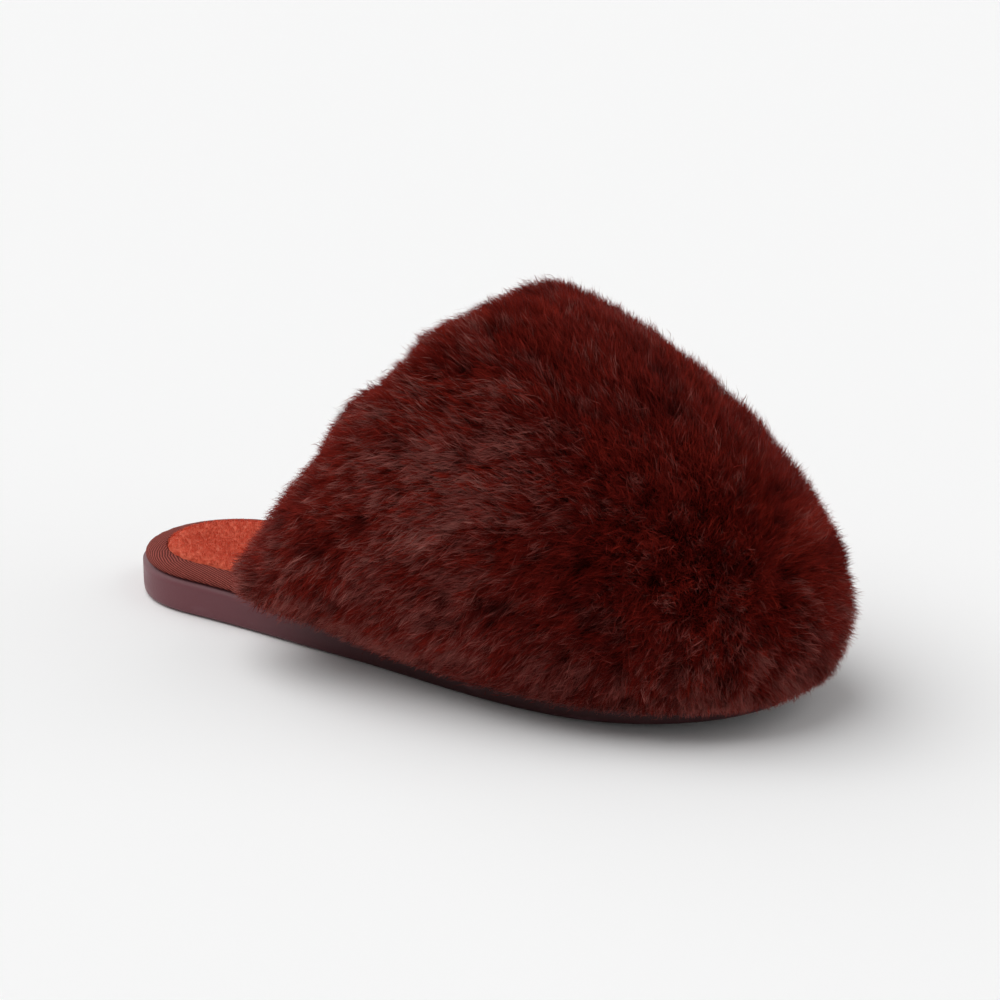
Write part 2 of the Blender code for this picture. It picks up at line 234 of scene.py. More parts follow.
class TapeLook(bpy.types.PropertyGroup):
    """The ribbed tape round the footbed"""

    pitch: size("Rib pitch", "From one rib to the next, across the tape", 0.00080)
    slant: angle("Rib slant", "How far the ribs turn from the tape's own direction", -14)
    lip_stretch: share("Lip stretch", "How closely the ribs lie on the lip, set against the side", 0.68)
    bead: size("Bead length", "From one bead to the next along a rib", 0.0009)
    # Rib and groove colours follow the ribs' relief: painted light on the ribs' tops and painted shade in the
    # grooves.
    rib: colour("Rib colour", "Top of a rib", 166, 88, 78)
    base: colour("Colour", "Between the ribs", 132, 56, 48)
    groove: colour("Groove colour", "Between the ribs, at the bottom", 84, 34, 30)
    relief: size("Rib relief", "Height of the ribs", 0.00016)


class SoleLook(bpy.types.PropertyGroup):
    """The moulded outsole"""

    # The sole darkens from heel to toe: painted light on the side of the heel and painted shade under the
    # fur.
    heel: colour("Heel colour", "Sole colour at the heel", 110, 64, 70)
    toe: colour("Toe colour", "Sole colour at the toe", 52, 23, 25)
    scuff: colour("Scuff colour", "Pale rubbed spots", 128, 92, 98)
    tread: size("Tread pitch", "From one groove to the next under the sole", 0.0040)
    grain: size("Grain size", "Size of the moulded grain", 0.0009)
    relief: size("Grain relief", "Height of the moulded grain", 0.00006)
    groove: size("Groove depth", "Depth of the grooves under the sole", 0.0006)
    roughness: share("Roughness", "Roughness of the sole's sides", 0.42)


class StageLook(bpy.types.PropertyGroup):
    """Floor, lights and camera"""

    floor: colour("Floor colour", "Pale floor", 250, 250, 250)
    floor_size: size("Floor size", "Side of the floor", 16.0)
    target: point("Target", "Point that the camera looks at", 0.095, 0.0, 0.045)
    azimuth: angle("Azimuth", "Camera's turn from the outer side towards the toe", 33.61)
    elevation: angle("Elevation", "Camera's height above the floor", 18.34)
    distance: size("Distance", "From the camera to the target", 1.3)
    lens: number("Lens", "Focal length in millimetres", 139.5)
    shift_x: number("Shift right", "Framing shift to the right, as a share of the frame", 0.0345)
    shift_y: number("Shift up", "Framing shift upwards, as a share of the frame", 0.0144)
    top: number("Top light", "Strength of the broad light overhead", 1.45)
    left: number("Left light", "Strength of the light past the heel", 0.90)
    right: number("Right light", "Strength of the light past the toe", 0.75)
    spread: angle("Light spread", "How wide the lights look from the slipper", 64)
    room: number("Room light", "Strength of the light from all round", 0.29)
    wall: number("Wall light", "Strength of the light from just above the floor's far edge", 0.92)


LOOKS = {"fur": FurLook, "plush": PlushLook, "tape": TapeLook, "sole": SoleLook, "stage": StageLook}


def look(name):
    """The sizes and colours of this part of the slipper, as they are set now."""
    return getattr(bpy.context.scene, f"slipper_{name}")


class Value:
    """A number that varies over a surface: an output socket whose arithmetic adds Math nodes."""

    def __init__(self, wiring, socket):
        self.wiring = wiring
        self.socket = socket

    def math(self, operation, *operands):
        return self.wiring.node("ShaderNodeMath", {"operation": operation}, dict(enumerate(operands)))

    def __add__(self, other):
        return self.math("ADD", self, other)

    def __radd__(self, other):
        return self.math("ADD", other, self)

    def __sub__(self, other):
        return self.math("SUBTRACT", self, other)

    def __rsub__(self, other):
        return self.math("SUBTRACT", other, self)

    def __mul__(self, other):
        return self.math("MULTIPLY", self, other)

    def __rmul__(self, other):
        return self.math("MULTIPLY", other, self)

    def __truediv__(self, other):
        return self.math("DIVIDE", self, other)

    def __gt__(self, other):
        return self.math("GREATER_THAN", self, other)

    def __pow__(self, other):
        return self.math("POWER", self, other)

    def wave(self):
        """Sine of this many whole turns, from 0 to 1."""
        return self.math("SINE", self * math.tau) * 0.5 + 0.5

    def fraction(self):
        return self.math("FRACT", self)

    def between(self, low, high):
        """0 up to low, 1 from high, and a soft step between."""
        sockets = {"Value": self, "From Min": low, "From Max": high}
        return self.wiring.node("ShaderNodeMapRange", {"interpolation_type": "SMOOTHSTEP"}, sockets)


class Wiring:
    """The nodes of a material or of the room, and the links between them."""

    def __init__(self, tree):
        self.tree = tree

    def node(self, kind, settings=None, sockets=None, output=0):
        """Any node: its settings first, then the values or links of its sockets."""
        made = self.tree.nodes.new(kind)
        for name, value in (settings or {}).items():
            if name == "stops":
                self.set_stops(made.color_ramp, value)
            else:
                setattr(made, name, value)
        for key, value in (sockets or {}).items():
            self.plug(made.inputs[key], value)
        return Value(self, made.outputs[output])

    def plug(self, socket, value):
        if isinstance(value, Value):
            self.tree.links.new(value.socket, socket)
        else:
            socket.default_value = value

    def set_stops(self, ramp, stops):
        while len(ramp.elements) < len(stops):
            ramp.elements.new(1.0)
        for element, (place, tint) in zip(ramp.elements, stops):
            element.position = place
            element.color = (*tint, 1)

    def axis(self, vector, letter):
        return self.node("ShaderNodeSeparateXYZ", None, {0: vector}, letter)


class Finish(Wiring):
    """A material in the making, and the shader that its nodes feed."""

    def __init__(self, name, settings):
        self.material = bpy.data.materials.new(name)
        self.material.use_nodes = True
        super().__init__(self.material.node_tree)
        self.shader = self.tree.nodes["Principled BSDF"]
        for socket, value in settings.items():
            self.shader.inputs[socket].default_value = value

    def ramp(self, value, *stops):
        return self.node("ShaderNodeValToRGB", {"stops": stops}, {"Fac": value})

    def mix(self, factor, one, other):
        """From colour one at factor 0 to the other at 1."""
        first, second = (tint if isinstance(tint, Value) else (*tint, 1) for tint in (one, other))
        sockets = {MIX_FACTOR: factor, MIX_FIRST: first, MIX_SECOND: second}
        return self.node("ShaderNodeMix", {"data_type": "RGBA"}, sockets, MIX_RESULT)

    def shaded(self, tint, factor):
        """A colour made darker or lighter by a number."""
        return self.node("ShaderNodeVectorMath", {"operation": "SCALE"}, {0: tint, "Scale": factor})

    def place(self):
        return self.node("ShaderNodeTexCoord", output="Object")

    def attribute(self, name):
        return self.node("ShaderNodeAttribute", {"attribute_name": name}, None, "Fac")

    def noise(self, feature, detail=3.0, squeeze=(1, 1, 1)):
        """Soft noise with features of this size."""
        place = self.node("ShaderNodeMapping", None, {"Vector": self.place(), "Scale": squeeze})
        sockets = {"Vector": place, "Scale": 1 / feature, "Detail": detail}
        return self.node("ShaderNodeTexNoise", None, sockets)

    def feed(self, values):
        for socket, value in values.items():
            self.plug(self.shader.inputs[socket], value)

    def bump(self, height, relief):
        """Raises the surface by height, from 0 to 1, times relief in metres."""
        sockets = {"Height": height, "Distance": relief, "Strength": 1.0}
        self.feed({"Normal": self.node("ShaderNodeBump", None, sockets)})


def unit(vectors):
    return vectors / np.maximum(np.linalg.norm(vectors, axis=-1, keepdims=True), TINY)


def dot(one, other):
    return (one * other).sum(-1, keepdims=True)


def along_surface(vectors, normals):
    """The part of each vector that lies in the surface."""
    return vectors - normals * dot(vectors, normals)


def turned(vectors, axes, angles):
    """Vectors square to their axes, turned about them."""
    return vectors * np.cos(angles)[:, None] + np.cross(axes, vectors) * np.sin(angles)[:, None]


def arrays(mesh):
    """Points, their normals and the triangles of a mesh."""
    mesh.calc_loop_triangles()
    points = np.empty(3 * len(mesh.vertices), np.float32)
    normals = np.empty(3 * len(mesh.vertices), np.float32)
    corners = np.empty(3 * len(mesh.loop_triangles), np.int32)
    mesh.vertices.foreach_get("co", points)
    mesh.vertex_normals.foreach_get("vector", normals)
    mesh.loop_triangles.foreach_get("vertices", corners)
    return points.reshape(-1, 3).astype(float), normals.reshape(-1, 3).astype(float), corners.reshape(-1, 3)


def copy_of(node, *modifiers, crease=False):
    """A CAD node's mesh, welded and taken through modifiers, each given as (type, settings).

    With crease, triangles are first joined into quads, and sharp edges stay sharp when smoothed.
    """
    shape = bmesh.new()
    shape.from_mesh(frame["nodes"][node].data)
    bmesh.ops.remove_doubles(shape, verts=shape.verts, dist=WELD)
    if crease:
        bmesh.ops.join_triangles(
            shape, faces=shape.faces, angle_face_threshold=QUAD_ANGLE / 2, angle_shape_threshold=QUAD_ANGLE
        )
        firmness = shape.edges.layers.float.new("crease_edge")
        for edge in shape.edges:
            edge[firmness] = edge.calc_face_angle(0) > SHARP_ANGLE
    mesh = bpy.data.meshes.new(node)
    shape.to_mesh(mesh)
    shape.free()
    work = bpy.data.objects.new(node, mesh)
    bpy.context.scene.collection.objects.link(work)
    for kind, settings in modifiers:
        made = work.modifiers.new(kind, kind)
        for name, value in settings.items():
            setattr(made, name, value)
    shaped = bpy.data.meshes.new_from_object(work.evaluated_get(bpy.context.evaluated_depsgraph_get()))
    bpy.data.objects.remove(work)
    bpy.data.meshes.remove(mesh)
    return shaped


def mark(mesh, name, values):
    """Writes a number for each point, for a finish to read."""
    mesh.attributes.new(name, "FLOAT", "POINT").data.foreach_set("value", values.astype(np.float32))


def smoother(levels):
    """A modifier that smooths the facets, for copy_of."""
    return "SUBSURF", {"levels": levels, "render_levels": levels}


def finished(name, mesh, finish, slot, *nodes):
    """A piece of the slipper from a mesh: shaded smooth, on the body, standing for CAD nodes."""
    mesh.shade_smooth()
    mesh.materials.clear()
    mesh.materials.append(finish)
    piece = bpy.data.objects.new(name, mesh)
    bpy.context.scene.collection.objects.link(piece)
    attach(piece, BODY)
    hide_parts(*nodes)
    return piece


def carrier():
    """The surfaces that the pile grows from, to measure its depth."""
    points, faces = [], []
    for node in ("upper", "outsole"):
        spots, _, corners = arrays(frame["nodes"][node].data)
        faces.append(corners + sum(len(part) for part in points))
        points.append(spots)
    return BVHTree.FromPolygons(np.concatenate(points).tolist(), np.concatenate(faces).tolist())


def scatter(points, corners, weights, wanted, chance):
    """Random spots on triangles, as (corners of each, shares of the corners)."""
    a, b, c = (points[corners[:, k]] for k in range(3))
    area = np.linalg.norm(np.cross(b - a, c - a), axis=1) * weights
    picked = corners[chance.choice(len(corners), wanted, p=area / area.sum())]
    u, v = chance.random((2, wanted))
    folded = u + v > 1
    u, v = np.where(folded, 1 - u, u), np.where(folded, 1 - v, v)
    return picked, np.stack([1 - u - v, u, v], -1)


def blend(values, picked, shares):
    """Values of the corners, read at scattered spots."""
    shares = shares if values.ndim == 1 else shares[..., None]
    return (values[picked] * shares).sum(1)


def nearest(spots, centres):
    """For each spot, the number of the nearest centre."""
    tree = KDTree(len(centres))
    for k, centre in enumerate(centres):
        tree.insert(centre, k)
    tree.balance()
    return np.array([tree.find(spot)[1] for spot in spots])


def along_lay(spots, centres, lay, narrowness, tried=6):
    """For each spot, the nearest centre where distances along the lay count for less: long narrow groups."""
    tree = KDTree(len(centres))
    for k, centre in enumerate(centres):
        tree.insert(centre, k)
    tree.balance()
    near = np.array([[found[1] for found in tree.find_n(spot, tried)] for spot in spots])
    apart = centres[near] - spots[:, None]
    lengthwise = (apart * lay[:, None]).sum(-1)
    measure = (apart**2).sum(-1) - (1 - 1 / narrowness**2) * lengthwise**2
    return near[np.arange(len(spots)), measure.argmin(1)]


def swelling(spots, width, chance, waves=9):
    """Smooth hills and hollows of about this width over all spots, from -1 to 1 for the most part."""
    turns = unit(chance.normal(0, 1, (waves, 3))) * math.tau / width * chance.uniform(0.7, 1.4, (waves, 1))
    return np.sin(spots @ turns.T + chance.uniform(0, math.tau, waves)).sum(1) / math.sqrt(waves)


def ribbon_mesh(name, lines, half_widths, facing, roll, u):
    """Flat strands, pointed at both ends: lines is strands x rows x 3, half_widths one for each inner row."""
    strands, rows = lines.shape[:2]
    run = unit(lines[:, 2:] - lines[:, :-2])
    faces_out = np.repeat(facing[:, None], rows - 2, 1)
    across = unit(np.cross(run, faces_out))
    across = across * np.cos(roll)[:, None, None] + np.cross(run, across) * np.sin(roll)[:, None, None]
    reach = across * half_widths[..., None]
    left, right = lines[:, 1:-1] + reach, lines[:, 1:-1] - reach
    pairs = np.stack([left, right], 2).reshape(strands, -1, 3)
    points = np.concatenate([lines[:, :1], pairs, lines[:, -1:]], 1)
    each = points.shape[1]
    ladder = [(k, k + 1, k + 2) if k % 2 else (k + 1, k, k + 2) for k in range(1, each - 3)]
    pattern = np.array([(0, 1, 2), *ladder, (each - 2, each - 3, each - 1)])
    corners = (pattern[None] + each * np.arange(strands)[:, None, None]).reshape(-1, 3)
    mesh = bpy.data.meshes.new(name)
    mesh.vertices.add(strands * each)
    mesh.vertices.foreach_set("co", points.astype(np.float32).ravel())
    mesh.loops.add(corners.size)
    mesh.loops.foreach_set("vertex_index", corners.astype(np.int32).ravel())
    mesh.polygons.add(len(corners))
    mesh.polygons.foreach_set("loop_start", np.arange(0, corners.size, 3, dtype=np.int32))
    mesh.update(calc_edges=True)
    paint_strands(mesh, u, rows, strands, each, corners)
    return mesh


def paint_strands(mesh, u, rows, strands, each, corners):
    """The colour chart's map: across it the strand's own shade, up it the way from root to tip."""
    sliver, border = 0.002, 0.01
    sideways = np.zeros(each)
    sideways[1:-1:2], sideways[2:-1:2] = sliver, -sliver
    rise = np.repeat(np.linspace(0, 1, rows), 2)[1:-1]
    chart = np.empty((strands, each, 2), np.float32)
    chart[..., 0] = u[:, None] + sideways
    chart[..., 1] = rise * (1 - 2 * border) + border
    layer = mesh.uv_layers.new(name=BAKED_MAP)
    layer.data.foreach_set("uv", chart.reshape(-1, 2)[corners.ravel()].ravel())


def fur_finish(fur):
    """Strand colour from the chart: red strands in its left half, mauve ones standing for painted sheen in
    its right half; darker towards the root, as painted shade.
    """
    finish = Finish("faux fur", {"Roughness": fur.roughness, "Specular IOR Level": 0.05})
    chart = finish.node("ShaderNodeUVMap", {"uv_map": BAKED_MAP})
    across, up = finish.axis(chart, "X"), finish.axis(chart, "Y")
    shade = (across * 2).fraction()
    red = finish.ramp(shade, (0, fur.deep), (0.5, fur.wine), (1, fur.rust))
    sheened = finish.ramp(shade, (0, fur.mauve_deep), (0.5, fur.mauve), (1, fur.mauve_light))
    tint = finish.mix(across > 0.5, red, sheened)
    # Darker towards the root: painted shade deep in the pile.
    finish.feed({"Base Color": finish.shaded(tint, 0.45 + 0.55 * up.between(0.2, 0.95))})
    return finish.material


def undercoat_finish(fur):
    finish = Finish("fur undercoat", {"Roughness": 0.95, "Specular IOR Level": 0.1})
    # Darker than any strand: painted shade deep in the pile.
    cloud = finish.noise(0.006)
    finish.feed({"Base Color": finish.ramp(cloud, (0.3, fur.undercoat), (0.8, fur.deep))})
    finish.bump(finish.noise(0.0012), 0.0006)
    return finish.material


def pile_surface(fur):
    """The pile's outer form: even points, their normals, triangles, and the pile's depth at each point."""
    shaped = copy_of(
        "fur",
        ("REMESH", {"mode": "VOXEL", "voxel_size": PILE_VOXEL}),
        ("SMOOTH", {"iterations": 10, "factor": 0.5}),
    )
    points, normals, corners = arrays(shaped)
    skin = carrier()
    depth = np.array([skin.find_nearest(Vector(point))[3] for point in points])
    return shaped, points, normals, corners, depth


def hollow(spots, centres, width):
    """1 at any of the centres, falling softly to 0 over this width."""
    near = np.linalg.norm(spots - centres[nearest(spots, centres)], axis=1)
    return np.exp(-((near / width) ** 2))


def lay_of_pile(fur, tips, normals):
    """The way that the strands lie: away from the whorl, drooping where the surface is steep."""
    away = unit(along_surface((tips - np.array(fur.whorl)) * np.array(fur.whorl_shape), normals))
    down = along_surface(np.array([[0.0, 0.0, -1.0]]) + 0 * tips, normals)
    return unit(away + fur.droop * down)


def grow_fur(fur, points, normals, corners, depth):
    """Lines of all strands, their half widths, the way they face and their place on the colour chart."""
    chance = np.random.default_rng(fur.seed)
    wanted = 4 * fur.strands
    outside = (depth[corners].min(1) > fur.bare).astype(float)
    picked, shares = scatter(points, corners, outside, wanted, chance)
    tips = blend(points, picked, shares)
    out = unit(blend(normals, picked, shares))
    deep = blend(depth, picked, shares)
    room = np.clip((deep + fur.edge) / (fur.full_depth + fur.edge), SHORTEST, 1)

    swirl = SWIRL * swelling(tips, SWIRL_WIDTH * fur.swell_width, chance)
    lay = turned(lay_of_pile(fur, tips, out), out, swirl)
    middle = chance.choice(wanted, fur.wisps, replace=False)
    tuft_middle = chance.choice(wanted, fur.tufts, replace=False)
    tuft = along_lay(tips, tips[tuft_middle], lay, TUFT_NARROWNESS)
    wisp = along_lay(tips, tips[middle], lay, WISP_NARROWNESS)
    partings = tips[chance.choice(wanted, fur.partings, replace=False)]
    parted = hollow(tips, partings, fur.parting_width)
    dented = hollow(tips, np.array([fur.notch, fur.slope]), fur.hollow_width)
    lobes = hollow(tips, np.array([fur.upper_lobe, fur.lower_lobe]), fur.hollow_width)
    gleam = hollow(tips, np.array([fur.gleam]), fur.gleam_width)
    standing = hollow(tips, np.array([fur.whorl]), fur.whorl_width)

    def varied(tuft_spread, wisp_spread, strand_spread):
        """Chance that tufts share, that wisps share, and each strand's own."""
        return (
            chance.normal(0, tuft_spread, fur.tufts)[tuft]
            + chance.normal(0, wisp_spread, fur.wisps)[wisp]
            + chance.normal(0, strand_spread, wanted)
        )

    lay = turned(lay, out, varied(*LAY_SPREAD) * (1 + 2 * standing))
    lean = np.clip(fur.lean * (1 - 0.5 * standing) + varied(*LEAN_SPREAD), 0.1, 1.3)
    length = fur.length * room * np.clip(1 + varied(*LENGTH_SPREAD), 0.6, 1.4)
    mounds = (fur.lift + fur.swell * swelling(tips, fur.swell_width, chance)) * (0.6 + 0.4 * out[:, 2])
    mounds -= fur.hollow_depth * dented + fur.parting_depth * parted
    mounds += fur.lobe_height * lobes + fur.edge * np.clip(1 - deep / (2 * fur.edge), 0, 1)
    tips = tips + out * ((mounds + varied(*HEIGHT_SPREAD)) * room)[:, None]

    def heading(lean_share):
        """The way that a strand runs where it leans over by this share of its lean."""
        turn = (lean * lean_share)[:, None]
        return out * np.cos(turn) + lay * np.sin(turn)

    pull = fur.wisp_pull * (tips[middle][wisp] - tips)
    gathered = np.zeros((fur.tufts, 3))
    np.add.at(gathered, tuft, tips)
    sizes = np.bincount(tuft, minlength=fur.tufts)[:, None]
    pull = along_surface(pull + fur.tuft_pull * ((gathered / np.maximum(sizes, 1))[tuft] - tips), out)
    half = length[:, None] / 2
    bend = tips - half * heading(MIDDLE_LEAN) + MIDDLE_PULL * pull
    root = tips - half * (heading(MIDDLE_LEAN) + heading(ROOT_LEAN))
    lines = np.stack([root, bend, tips + pull], 1)
    low = np.flatnonzero(lines[:, 2, 2] < fur.hem + fur.hem_back + fur.hem_rise * fur.full_depth * 2)
    floor = hang(fur, lines[low, 2], fine_rim("outsole", 2)) * (1 + chance.normal(0, 0.12, len(low)))
    lines[low, :, 2] = np.maximum(lines[low, :, 2], floor[:, None])

    half_widths = fur.width / 2 * np.clip(1 + varied(*WIDTH_SPREAD), 0.5, 1.6)[:, None]
    # Random tones of tufts, wisps and strands, plus painted light and shade by place, a painted highlight at
    # the gleam, and painted shade in the partings and at the whorl.
    shade = 0.45 + varied(*SHADE_SPREAD) + lighter(tips, out)
    shade = np.clip(shade + 0.18 * gleam - 0.25 * parted - 0.08 * standing, 0.01, 0.99)
    # Mauve strands in clumps stand for painted sheen, most of all round the gleam.
    clumped = 0.30 * chance.random(fur.tufts)[tuft] + 0.52 * chance.random(fur.wisps)[wisp]
    sheened = clumped + 0.18 * chance.random(wanted) < sheen_share(tips, out) + 0.40 * gleam
    return lines, half_widths, out, chance.normal(0, STRAND_ROLL, wanted), (shade + sheened) / 2


def before(values, end, reach):
    """1 well before the end, falling to 0 there over the reach."""
    return np.clip((end - values) / reach, 0, 1)


def lighter(tips, out):
    """Added to the shade as painted light and shade: more on top and towards the heel and toe, less in the
    middle of the outer side.
    """
    heelward = before(tips[:, 0], *HEEL_LIGHT_STRETCH)
    centre, reach = MIDDLE_SHADE_STRETCH
    middle = before(np.abs(tips[:, 0] - centre), reach, reach) * np.clip(0.2 - out[:, 1], 0, 1)
    start, reach = TOE_LIGHT_STRETCH
    toeward = np.clip((tips[:, 0] - start) / reach, 0, 1)
    return 0.08 * heelward + 0.11 * np.clip(out[:, 2], 0, 1) - 0.17 * middle + 0.09 * toeward


def sheen_share(tips, out):
    """How likely a strand is mauve, as painted sheen: a share everywhere, likelier low down, and on the outer
    side towards the heel.
    """
    heelward = before(tips[:, 0], *SHEEN_STRETCH)
    outer = np.clip(0.3 - out[:, 1], 0, 1)
    low = before(tips[:, 2], *SHEEN_HEIGHT)
    return 0.22 + 0.06 * heelward * outer + 0.32 * low


def far(spots, places):
    """How far the spots are from the places, seen from above."""
    return np.linalg.norm((spots - places) * FLAT, axis=1)


def hang(fur, spots, edge):
    """The least height of each spot above the floor: more, the further out from the sole's edge it is."""
    at = edge[nearest(spots * FLAT, edge * FLAT)]
    heart = edge.mean(0)
    outside = far(spots, heart) > far(at, heart)
    backward = before(spots[:, 0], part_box("fur")[0].x + fur.hem_run, fur.hem_run)
    return fur.hem + fur.hem_back * backward**HEM_CURVE + fur.hem_rise * outside * far(spots, at)


class SLIPPER_OT_fur(bpy.types.Operator):
    """Grows the fur over an undercoat painted dark as the pile's shade, in four panels"""

    bl_idname = "slipper.fur"
    bl_label = "Fur"

    def execute(self, context):
        fur = look("fur")
        shaped, points, normals, corners, depth = pile_surface(fur)
        sunk = np.minimum(fur.undercoat_depth, UNDERCOAT_SHARE * depth)
        under = points - normals * sunk[:, None]
        under[:, 2] = np.maximum(under[:, 2], hang(fur, under, fine_rim("outsole", 2)))
        shaped.vertices.foreach_set("co", under.astype(np.float32).ravel())
        finished("fur_undercoat", shaped, undercoat_finish(fur), "fur", "fur")
        lines, half_widths, facing, roll, chart = grow_fur(fur, points, normals, corners, depth)
        finish = fur_finish(fur)
        order = np.argsort(lines[:, -1, 1])
        panels = ("fur_outer_side", "fur_outer_top", "fur_inner_top", "fur_inner_side")
        for name, part in zip(panels, np.array_split(order, len(panels))):
            mesh = ribbon_mesh(name, lines[part], half_widths[part], facing[part], roll[part], chart[part])
            finished(name, mesh, finish, "fur", "fur")
        return {"FINISHED"}


def plush_finish(name, plush):
    soft = {"Roughness": 0.9, "Sheen Weight": 0.08, "Sheen Roughness": 0.5, "Specular IOR Level": 0.1}
    finish = Finish(name, soft)
    # One noise raises the nubs and colours them: painted light on their tops, painted shade in the pits
    # between.
    nubs = finish.noise(plush.nub, 2.0)
    fine = finish.noise(plush.nub / 5, 2.0)
    mottle = nubs * 0.7 + fine * 0.3
    tint = finish.ramp(mottle, (0.32, plush.pit), (0.5, plush.base), (0.7, plush.light))
    # Darkened overall as painted shade, the shade that fibres would cast on each other.
    return finish, finish.shaded(tint, 0.82), mottle


def footbed_finish(plush):
    finish, tint, mottle = plush_finish("footbed plush", plush)
    finish.feed({"Base Color": tint})
    finish.bump(mottle, plush.nub_height)
    return finish.material


def lining_finish(plush, seam, backing):
    """Plush inside; outside, below the seam, the fur's dark backing where the wall meets the sole."""
    finish, tint, mottle = plush_finish("lining plush", plush)
    below = 1 - finish.axis(finish.place(), "Z").between(seam, seam + 0.001)
    finish.feed({"Base Color": finish.mix(finish.attribute("outside") * below, tint, backing)})
    finish.bump(mottle, plush.nub_height)
    return finish.material


def fibre_finish(plush):
    finish = Finish("plush fibres", {"Roughness": 0.85, "Specular IOR Level": 0.2})
    chart = finish.node("ShaderNodeUVMap", {"uv_map": BAKED_MAP})
    across, up = finish.axis(chart, "X"), finish.axis(chart, "Y")
    tint = finish.ramp(across, (0, plush.pit), (0.5, plush.base), (1, plush.light))
    # Darker towards the root: painted shade among the fibres.
    finish.feed({"Base Color": finish.shaded(tint, 0.85 + 0.15 * up)})
    return finish.material


def grow_plush(name, plush, mesh, weight, wanted):
    """Short fibres over a mesh, where weight(points, normals) says, gathered into nubs."""
    chance = np.random.default_rng(plush.seed)
    points, normals, corners = arrays(mesh)
    middles, face_out = points[corners].mean(1), unit(normals[corners].mean(1))
    picked, shares = scatter(points, corners, weight(middles, face_out), wanted, chance)
    roots, out = blend(points, picked, shares), unit(blend(normals, picked, shares))
    centres = roots[chance.choice(wanted, wanted // 30, replace=False)]
    nub = nearest(roots, centres)
    lean = out + 0.35 * chance.normal(0, 1, (wanted, 3))
    lean = unit(lean + 0.2 * chance.normal(0, 1, centres.shape)[nub])
    length = plush.length * np.clip(1 + chance.normal(0, 0.2, wanted), 0.4, 1.6)[:, None]
    tips = roots + length * lean
    tips = tips + 0.35 * along_surface(centres[nub] - roots, out)
    middle = roots + 0.55 * (tips - roots) + 0.15 * length * out
    lines = np.stack([roots - 0.2 * length * out, middle, tips], 1)
    half_widths = np.full((wanted, 1), plush.width / 2)
    shade = 0.5 + chance.normal(0, 0.10, len(centres))[nub] + chance.normal(0, 0.16, wanted)
    shade = np.clip(shade, 0.01, 0.99)
    return ribbon_mesh(name, lines, half_widths, out, chance.normal(0, FIBRE_ROLL, wanted), shade)


class SLIPPER_OT_footbed(bpy.types.Operator):
    """Makes the padded footbed and its plush"""

    bl_idname = "slipper.footbed"
    bl_label = "Footbed"

    def execute(self, context):
        plush = look("plush")
        mesh = copy_of("insole", smoother(1))
        edge = fine_rim("outsole")

        def inward(spots):
            """How far in from the sole's edge."""
            return far(spots, edge[nearest(spots * FLAT, edge * FLAT)])

        points, out, _ = arrays(mesh)
        climb = np.clip((inward(points) - plush.margin) / plush.puff_width, 0, 1)
        points[:, 2] += plush.puff * np.sin(climb * math.pi / 2) * (out[:, 2] > 0.5)
        mesh.vertices.foreach_set("co", points.astype(np.float32).ravel())
        mesh.update()
        pad = finished("footbed", mesh, footbed_finish(plush), "insole", "insole")
        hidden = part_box("fur")[0].x + plush.hidden

        def open_top(middles, face_out):
            """Upward faces inside the tape's mouth, most of them behind the vamp."""
            behind = np.clip(1 - (middles[:, 0] - hidden) / plush.hidden, 0.1, 1)
            return (face_out[:, 2] > 0.5) * (inward(middles) > plush.margin) * behind

        nap = grow_plush("footbed_nap", plush, mesh, open_top, plush.footbed_fibres)
        finished("footbed_nap", nap, fibre_finish(plush), "insole", "insole")
        return {"FINISHED"}


class SLIPPER_OT_lining(bpy.types.Operator):
    """Makes the vamp's wall with its plush lining"""

    bl_idname = "slipper.lining"
    bl_label = "Lining"

    def execute(self, context):
        plush = look("plush")
        mesh = copy_of("upper", smoother(1))
        points, out, _ = arrays(mesh)
        outside = 1 - looks_inward(points, out)
        mark(mesh, "outside", outside)
        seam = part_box("binding")[1].z
        finished("lining", mesh, lining_finish(plush, seam, look("fur").deep), "upper", "upper")
        nap = grow_plush("lining_nap", plush, mesh, near_mouth, plush.lining_fibres)
        finished("lining_nap", nap, fibre_finish(plush), "upper", "upper")
        return {"FINISHED"}


def looks_inward(spots, out):
    """1 for the spots of the vamp that look into the slipper, 0 for the others."""
    low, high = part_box("upper")
    heart = np.array([[(low.x + high.x) / 2, 0.0, low.z + 0.01]])
    return (dot(out, heart - spots)[:, 0] > 0).astype(float)


def near_mouth(middles, out):
    """A weight for the vamp's inner faces, most of it near the mouth."""
    low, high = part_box("upper")
    mouthward = np.clip((high.x - middles[:, 0]) / (high.x - low.x), 0, 1)
    return looks_inward(middles, out) * mouthward**2


def rim_of(node):
    """The edge of a node's upward face, as one loop of points that starts at the toe."""
    shape = bmesh.new()
    shape.from_mesh(frame["nodes"][node].data)
    bmesh.ops.remove_doubles(shape, verts=shape.verts, dist=WELD)
    top = {face for face in shape.faces if face.normal.z > 0.9}
    rim = [edge for edge in shape.edges if sum(face in top for face in edge.link_faces) == 1]
    edges_at = {}
    for edge in rim:
        for vert in edge.verts:
            edges_at.setdefault(vert, []).append(edge)
    vert = max(edges_at, key=lambda v: v.co.x)
    edge = edges_at[vert][0]
    loop = []
    for _ in rim:
        loop.append(tuple(vert.co))
        vert = edge.other_vert(vert)
        edge = next(other for other in edges_at[vert] if other is not edge)
    shape.free()
    return np.array(loop)


def fine_rim(node, splits=8):
    """The same loop with each stretch split into this many."""
    loop = rim_of(node)
    steps = np.linspace(0, 1, splits, endpoint=False)[:, None, None]
    return (loop + (np.roll(loop, -1, 0) - loop) * steps).transpose(1, 0, 2).reshape(-1, 3)


